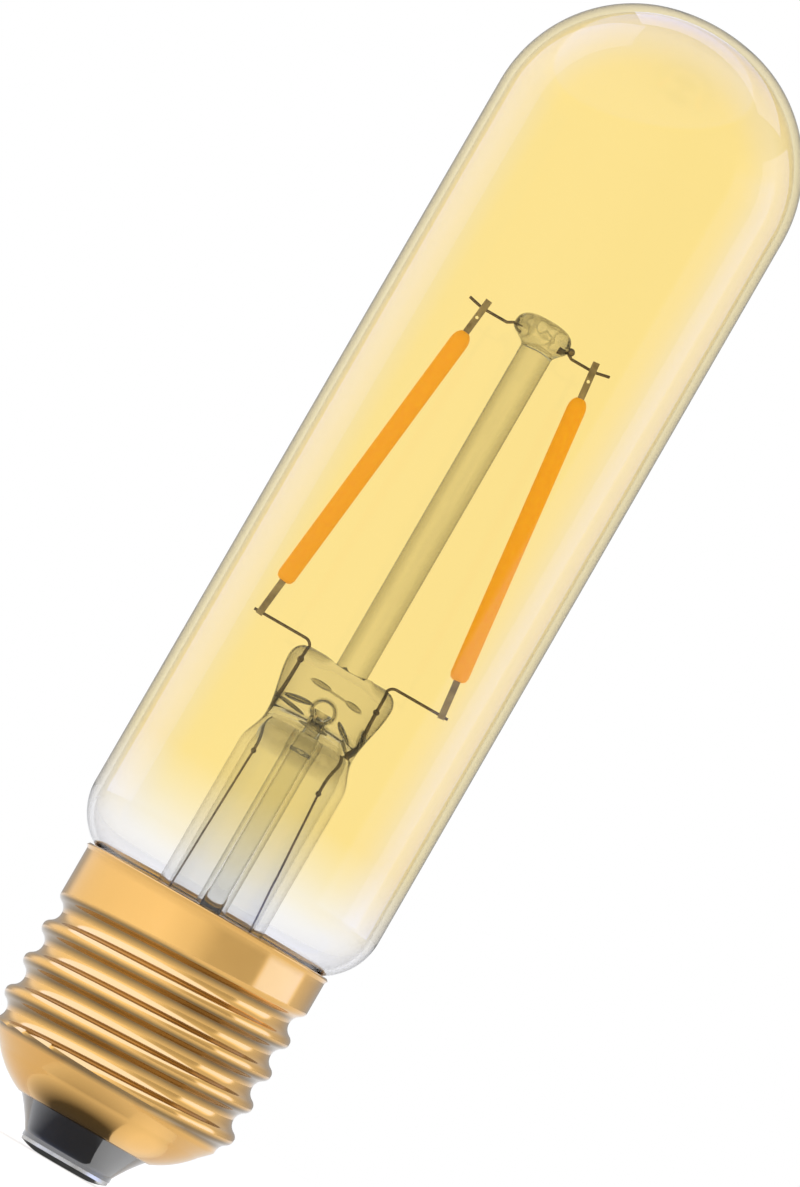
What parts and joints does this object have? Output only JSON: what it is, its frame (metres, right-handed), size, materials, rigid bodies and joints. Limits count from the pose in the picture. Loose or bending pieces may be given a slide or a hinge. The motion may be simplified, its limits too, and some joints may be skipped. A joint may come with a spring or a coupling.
{
  "type": "tubular light bulb",
  "caption": "Tubular LED filament bulb: amber-tinted glass tube with a domed top, glass stem and rod, orange filaments, and a brass screw cap with black insulator.",
  "frame": {"origin": "middle of the flat face of the centre contact, on the bulb's axis", "axes": "+Z along the bulb's axis towards the dome; the filaments stand left and right of the axis, along X, and +Y is the back"},
  "size_m": [0.032, 0.032, 0.129],
  "materials": {
    "amber_glass": "clear blown glass with an amber tint, fading to clear at the neck",
    "clear_glass": "clear lamp glass",
    "brass_shell": "bright rolled brass sheet",
    "black_glass": "glossy black moulded glass",
    "contact_plate": "bright plated sheet",
    "solder": "dull grey solder",
    "cement": "matt baked cement",
    "mount_wire": "drawn wire, darkened by heat",
    "copper_wire": "tinned copper wire",
    "tab_metal": "thin plated strip",
    "strip_ceramic": "thin white carrier",
    "chip_crystal": "small polished chips",
    "phosphor": "satin silicone with phosphor",
    "board": "board with green lacquer",
    "moulded_black": "moulded resin package",
    "capacitor_can": "can in a dark sleeve",
    "resistor_body": "lacquered ceramic body",
    "chip_ceramic": "small ceramic chips"
  },
  "bodies": {
    "root": {"basing_cement": "cement", "bridge_rectifier": "moulded_black", "centre_contact": "contact_plate", "chip_resistors": "chip_ceramic", "contact_solder": "solder", "driver_board": "board", "driver_chip": "moulded_black", "exhaust_tube": "clear_glass", "filament_bottom_tab_left": "tab_metal", "filament_bottom_tab_right": "tab_metal", "filament_chips_left": "chip_crystal", "filament_chips_right": "chip_crystal", "filament_coating_left": "phosphor", "filament_coating_right": "phosphor", "filament_strip_left": "strip_ceramic", "filament_strip_right": "strip_ceramic", "filament_top_tab_left": "tab_metal", "filament_top_tab_right": "tab_metal", "fuse_resistor": "resistor_body", "glass_envelope": "amber_glass", "inner_lead_left": "mount_wire", "inner_lead_right": "mount_wire", "insulator": "black_glass", "live_wire": "copper_wire", "neutral_solder": "solder", "neutral_wire": "copper_wire", "outer_lead_left": "mount_wire", "outer_lead_right": "mount_wire", "screw_shell": "brass_shell", "seal_wire_left": "mount_wire", "seal_wire_right": "mount_wire", "smoothing_capacitor": "capacitor_can", "solder_joints": "solder", "stem": "clear_glass", "support_rod": "clear_glass", "support_wire_left": "mount_wire", "support_wire_right": "mount_wire"}
  },
  "joints": []
}
